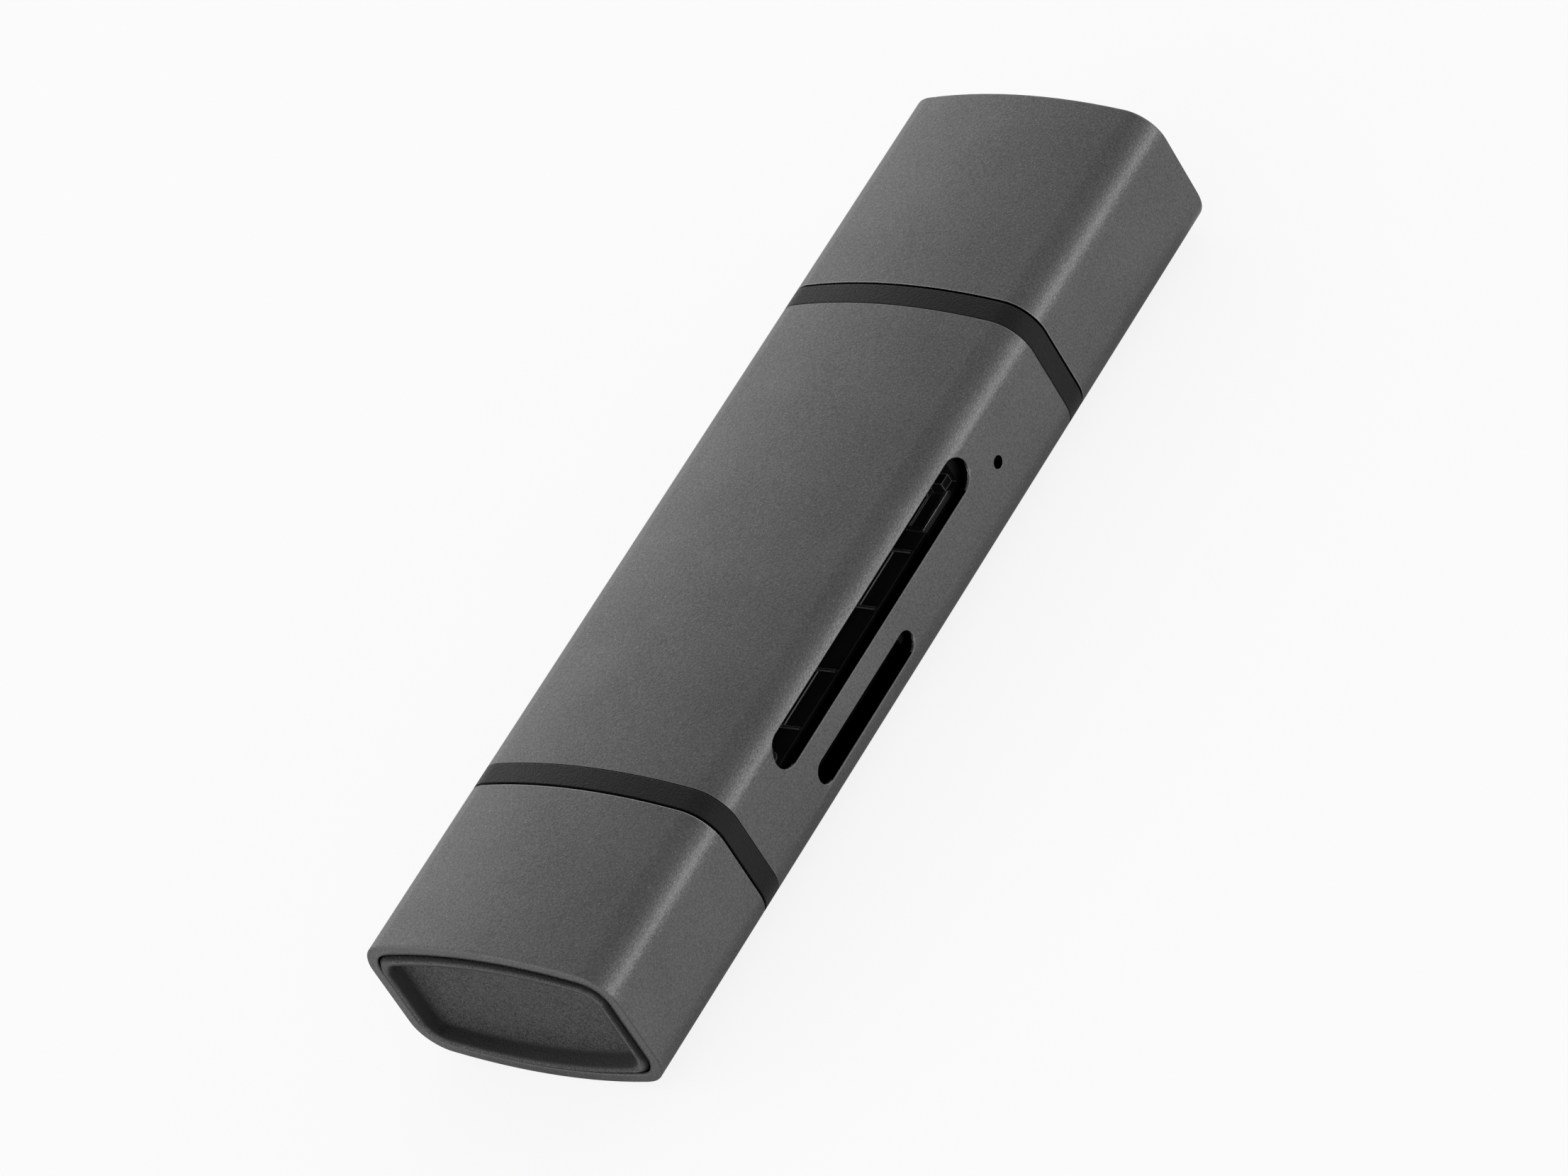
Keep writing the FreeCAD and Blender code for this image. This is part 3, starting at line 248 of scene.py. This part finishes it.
def milled_wall_shade(look):
    """1 on the walls of the openings milled through the side of the sleeve, where painted shade goes, 0
    elsewhere.
    """
    low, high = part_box("body_sleeve")
    middle = (low + high) / 2
    half = (high - low) / 2
    place = look.axes(look.place)
    along = look.math("COMPARE", place["X"], middle.x, half.x - MILLED_MARGIN)
    beside = look.math("COMPARE", place["Z"], middle.z, half.z - MILLED_MARGIN)
    square = look.math("COMPARE", look.axes(look.facing)["Y"], 0.0, MILLED_SLANT)
    return look.math("MULTIPLY", square, look.math("MULTIPLY", along, beside))


def shell_aluminium():
    """Cap shells, with a bright painted highlight on their edges."""
    return anodised("anodised cap", edge_highlight_colour=grey(0.3))


def sleeve_aluminium():
    """Body sleeve, with a fainter painted highlight on its edges."""
    return anodised("anodised sleeve", edge_highlight_colour=grey(0.16))


# Plastics
def black_moulding(name):
    """Black moulded plastic: its look, its fine grain, its colour and its roughness."""
    look = Look(name, Specular_IOR_Level=0.14)
    grain = look.noise(0.14 * MM, detail=3.0)
    clouds = look.noise(4 * MM)
    colour = look.colours(look.mottle(grain, clouds, share=0.3), grey(0.003), grey(0.011))
    return look, grain, colour, look.spread(grain, 0.4, 0.56)


def casing_plastic():
    """End frames, which show as bands beside the caps."""
    look, grain, colour, roughness = black_moulding("black plastic")
    return look.paint(colour, roughness, grain, depth=0.06 * MM, edge=0.14 * MM)


def insert_plastic():
    """The same plastic in the caps, lighter on the floors of their dished ends, partly their eroded finish
    and partly painted shade left on the dish walls and foot, with a painted highlight on the rims.
    """
    look, grain, colour, roughness = black_moulding("eroded black plastic with painted light")
    floor_dark, floor_light = grey(0.01), grey(0.077)
    rim_highlight_dark, rim_highlight_light = grey(0.024), grey(0.104)
    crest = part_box("usb_a_cap_insert")[1].x
    edge = look.spread(look.outward(), FOOT_ROUND, RIM_ROUND, start=crest - DISH_DEPTH, end=crest)
    pits = look.spread(look.noise(0.08 * MM, detail=1.0), start=0.35, end=0.65)
    floor = look.colours(pits, floor_dark, floor_light)
    rim_highlight = look.colours(pits, rim_highlight_dark, rim_highlight_light)
    # Painted highlight: the rim lighter than the floor
    on_rim = look.math("GREATER_THAN", look.outward(), crest - RIM_HIGHLIGHT_DEPTH)
    # Lighter where the surface faces along X: partly the eroded finish, partly painted shade that keeps the
    # dish walls and foot dark
    endwise = look.math("ABSOLUTE", look.axes(look.rounded(edge))["X"])
    eroded_unshaded = look.spread(endwise, start=0.82, end=0.97)
    colour = look.colours(eroded_unshaded, colour, look.colours(on_rim, floor, rim_highlight))
    return look.paint(colour, roughness, grain, depth=0.06 * MM, edge=edge)


def moulded(name, dark, light):
    """Smoother moulded plastic inside the reader, with faint flow marks."""
    look = Look(name)
    flow = look.noise(1.2 * MM, stretch=(3, 1, 1))
    grain = look.noise(0.08 * MM, detail=1.0)
    colour = look.colours(look.spread(flow), dark, light)
    roughness = look.spread(flow, 0.38, 0.52)
    return look.paint(colour, roughness, grain, depth=0.006 * MM, edge=0.05 * MM)


def plug_plastic():
    """Tongue and insulator of the plugs."""
    return moulded("plug insulator", grey(0.016), grey(0.024))


def chip_plastic():
    """Bodies of the chips on the board."""
    return moulded("chip moulding", grey(0.014), grey(0.022))


def socket_plastic():
    """Black moulding of the card trays, the upper one with a painted highlight along the edges behind its
    mouth.
    """
    look = Look("socket moulding", Specular_IOR_Level=0.3)
    dark, light, tray_edge_highlight = grey(0.003), grey(0.005), grey(0.22)
    flow = look.noise(1.2 * MM, stretch=(3, 1, 1))
    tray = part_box("sd_socket_base")[0]
    place = look.axes(look.place)
    behind = look.math("GREATER_THAN", place["Y"], tray.y + HIGHLIGHT_SETBACK)
    above = look.math("GREATER_THAN", place["Z"], tray.z)
    # Painted highlight on the tray's upper edges behind its mouth
    highlight_edges = look.math("MULTIPLY", look.edges(0.07 * MM), look.math("MULTIPLY", behind, above))
    colour = look.colours(highlight_edges, look.colours(look.spread(flow), dark, light), tray_edge_highlight)
    roughness = look.spread(flow, 0.42, 0.56)
    return look.paint(colour, roughness, flow, depth=0.006 * MM, edge=0.05 * MM)


# Sheet metal
def rolled_metal(name, dark, light, roughest):
    """Plated sheet with faint marks of rolling along X."""
    look = Look(name, Metallic=1.0)
    lines = look.noise(0.05 * MM, detail=3.0, stretch=(40, 1, 1))
    smears = look.noise(2.5 * MM)
    colour = look.colours(look.spread(lines), dark, light)
    roughness = look.spread(smears, roughest / 2, roughest)
    return look.paint(colour, roughness, lines, depth=0.002 * MM, edge=0.04 * MM)


def plug_steel():
    """Shells of the plugs."""
    return rolled_metal("plated steel", grey(0.56), grey(0.66), roughest=0.34)


def spring_steel():
    """Latch springs of the USB-C plug, and the card switch."""
    return rolled_metal("spring steel", grey(0.5), grey(0.64), roughest=0.36)


def socket_steel():
    """Cover of the SD socket, and the crystal's can."""
    return rolled_metal("tinned steel", grey(0.54), grey(0.63), roughest=0.42)


def cover_steel_painted_shade():
    """Cover of the microSD socket, painted as dark as the shaded slot in front of it: painted shade."""
    return rolled_metal("cover steel painted as shade", grey(0.008), grey(0.016), roughest=0.5)


def contact_gold():
    """Contacts of the plugs and sockets."""
    return rolled_metal("gold plate", (0.62, 0.42, 0.14), (0.8, 0.58, 0.24), roughest=0.32)


# Parts on the board
def board_laminate():
    """Green solder mask over glass cloth, whose weave just shows."""
    look = Look("solder mask", Coat_Weight=0.3, Coat_Roughness=0.15)
    dark, light = (0.012, 0.075, 0.035), (0.022, 0.11, 0.055)
    warp = look.noise(0.3 * MM, stretch=(4, 1, 1))
    weft = look.noise(0.3 * MM, stretch=(1, 4, 1))
    clouds = look.noise(3 * MM)
    colour = look.colours(look.spread(clouds), dark, light)
    roughness = look.spread(clouds, 0.3, 0.42)
    weave = look.total(warp, weft, share=1.0)
    return look.paint(colour, roughness, weave, depth=0.006 * MM, edge=0.03 * MM)


def fired(name, dark, light):
    """Fired ceramic of a chip part, slightly mottled."""
    look = Look(name)
    mottle = look.noise(0.15 * MM, detail=3.0)
    colour = look.colours(look.spread(mottle), dark, light)
    roughness = look.spread(mottle, 0.4, 0.6)
    return look.paint(colour, roughness, mottle, depth=0.004 * MM, edge=0.05 * MM)


def capacitor_ceramic():
    """Brown ceramic of the capacitors."""
    return fired("capacitor ceramic", (0.3, 0.2, 0.11), (0.44, 0.31, 0.19))


def resistor_ceramic():
    """Black film of the resistors."""
    return fired("resistor film", grey(0.03), grey(0.055))


def lamp_resin():
    """Milky resin of the lamp."""
    look = Look("lamp resin", Transmission_Weight=0.5, IOR=1.5)
    dark, light = (0.68, 0.72, 0.62), (0.8, 0.82, 0.76)
    haze = look.noise(0.3 * MM)
    colour = look.colours(look.spread(haze), dark, light)
    roughness = look.spread(haze, 0.15, 0.3)
    return look.paint(colour, roughness, haze, depth=0.004 * MM, edge=0.04 * MM)


# The material of each slot of the record
SLOT_LOOKS = {
    "shell_aluminium": shell_aluminium,
    "casing_plastic": casing_plastic,
    "plug_steel": plug_steel,
    "plug_plastic": plug_plastic,
    "contact_gold": contact_gold,
    "spring_steel": spring_steel,
    "socket_plastic": socket_plastic,
    "socket_steel": socket_steel,
    "board_laminate": board_laminate,
    "chip_plastic": chip_plastic,
    "capacitor_ceramic": capacitor_ceramic,
    "resistor_ceramic": resistor_ceramic,
    "lamp_resin": lamp_resin,
}

# Materials with nodes of their own, which differ from the rest of their slot
NODE_LOOKS = {
    insert_plastic: ("usb_a_cap_insert", "usb_c_cap_insert"),
    sleeve_aluminium: ("body_sleeve",),
    # Painted shade: the microSD cover drawn as dark as the shaded slot
    cover_steel_painted_shade: ("microsd_socket_cover",),
}


def smooth(node):
    """Shade a CAD node smoothly, with flat faces flat and edges kept."""
    node.data.shade_smooth()
    weld = node.modifiers.new("weld", "WELD")
    weld.merge_threshold = WELD_DISTANCE
    join = node.modifiers.new("join flat faces", "DECIMATE")
    join.decimate_type = "DISSOLVE"
    join.angle_limit = FLAT_ANGLE
    split = node.modifiers.new("keep edges", "EDGE_SPLIT")
    split.split_angle = SHARP_ANGLE
    flatten = node.modifiers.new("smooth by area", "WEIGHTED_NORMAL")
    flatten.weight = FLAT_FACE_WEIGHT


def dress_cad_nodes():
    """Give every CAD node its material and its smooth shading."""
    materials = {slot: make() for slot, make in SLOT_LOOKS.items()}
    finishes = {part["node"]: materials[part["material_slot"]] for part in frame["record"]["subparts"]}
    for make, names in NODE_LOOKS.items():
        finishes.update(dict.fromkeys(names, make()))
    for name, node in frame["nodes"].items():
        node.data.materials.clear()
        node.data.materials.append(finishes[name])
        smooth(node)


# Stage
def floor_glow(tree):
    """How far the table glows: to the camera, through glass, and to metal, less so near the reader."""
    path = tree.nodes.new("ShaderNodeLightPath").outputs
    contact = tree.nodes.new("ShaderNodeAmbientOcclusion")
    contact.samples = NEARBY_SAMPLES
    contact.inputs["Distance"].default_value = CONTACT_REACH
    clear = math_node(tree, "POWER", contact.outputs["AO"], CONTACT_SHADE)
    off_metal = math_node(tree, "MULTIPLY", path["Is Glossy Ray"], clear)
    seen = math_node(tree, "MAXIMUM", path["Is Camera Ray"], path["Is Transmission Ray"])
    return math_node(tree, "MULTIPLY", FLOOR_GLOW, math_node(tree, "MAXIMUM", seen, off_metal))


def table_white():
    """Matt white that glows to the camera, and so keeps only a soft shadow."""
    material = bpy.data.materials.new("white table")
    material.use_nodes = True
    tree = material.node_tree
    tree.nodes.clear()
    matt = tree.nodes.new("ShaderNodeBsdfDiffuse")
    matt.inputs["Color"].default_value = (*grey(FLOOR_WHITE), 1.0)
    glow = tree.nodes.new("ShaderNodeEmission")
    mix = tree.nodes.new("ShaderNodeMixShader")
    tree.links.new(floor_glow(tree), mix.inputs["Fac"])
    tree.links.new(matt.outputs[0], mix.inputs[1])
    tree.links.new(glow.outputs[0], mix.inputs[2])
    output = tree.nodes.new("ShaderNodeOutputMaterial")
    tree.links.new(mix.outputs[0], output.inputs["Surface"])
    return material


def make_floor():
    """A square table top under the reader."""
    half = FLOOR_SIZE / 2
    corners = [(-half, -half, 0), (half, -half, 0), (half, half, 0), (-half, half, 0)]
    mesh = bpy.data.meshes.new("floor")
    mesh.from_pydata(corners, [], [(0, 1, 2, 3)])
    mesh.materials.append(table_white())
    floor = bpy.data.objects.new("floor", mesh)
    bpy.context.scene.collection.objects.link(floor)


def make_world():
    """Soft light all round: brightest at the horizon, dim overhead, fading faster in front of the reader."""
    world = bpy.data.worlds.new("studio")
    bpy.context.scene.world = world
    world.use_nodes = True
    tree = world.node_tree
    tree.nodes.clear()
    direction = tree.nodes.new("ShaderNodeSeparateXYZ")
    tree.links.new(tree.nodes.new("ShaderNodeTexCoord").outputs["Generated"], direction.inputs[0])
    behind = direction.outputs["Y"]
    below_top = math_node(tree, "SUBTRACT", 1.0, math_node(tree, "MAXIMUM", direction.outputs["Z"], 0.0))
    fade = math_node(tree, "MULTIPLY_ADD", behind, FADE_BEHIND, FADE)
    share = math_node(tree, "POWER", below_top, fade)
    rise = math_node(tree, "MULTIPLY_ADD", behind, HORIZON_BEHIND, HORIZON_LIGHT - CEILING_LIGHT)
    level = math_node(tree, "MULTIPLY_ADD", share, rise, CEILING_LIGHT)
    camera = tree.nodes.new("ShaderNodeLightPath").outputs["Is Camera Ray"]
    change = math_node(tree, "SUBTRACT", BACKDROP_WHITE, level)
    strength = math_node(tree, "MULTIPLY_ADD", camera, change, level)
    light = tree.nodes.new("ShaderNodeBackground")
    light.inputs["Color"].default_value = (*grey(1.0), 1.0)
    tree.links.new(strength, light.inputs["Strength"])
    output = tree.nodes.new("ShaderNodeOutputWorld")
    tree.links.new(light.outputs[0], output.inputs["Surface"])


def make_camera():
    """The photograph's camera: far off, with a long lens, tipped over to its right."""
    angles = (CAMERA_AZIMUTH, CAMERA_ELEVATION, CAMERA_ROLL)
    azimuth, elevation, roll = (math.radians(angle) for angle in angles)
    level = math.cos(elevation)
    back = Vector((math.sin(azimuth) * level, -math.cos(azimuth) * level, math.sin(elevation)))
    data = bpy.data.cameras.new("camera")
    data.sensor_fit = "HORIZONTAL"
    data.sensor_width = SENSOR_WIDTH_MM
    data.lens = FOCAL_LENGTH_PX / PHOTO_WIDTH_PX * SENSOR_WIDTH_MM
    data.clip_start = CAMERA_NEAR_LIMIT
    camera = bpy.data.objects.new("camera", data)
    place = Matrix.Translation(CAMERA_TARGET + back * CAMERA_DISTANCE)
    upright = (-back).to_track_quat("-Z", "Y").to_matrix().to_4x4()
    camera.matrix_world = place @ upright @ Matrix.Rotation(roll, 4, "Z")
    bpy.context.scene.collection.objects.link(camera)
    bpy.context.scene.camera = camera


dress_cad_nodes()
make_floor()
make_world()
make_camera()
bpy.context.scene.view_settings.view_transform = "Standard"
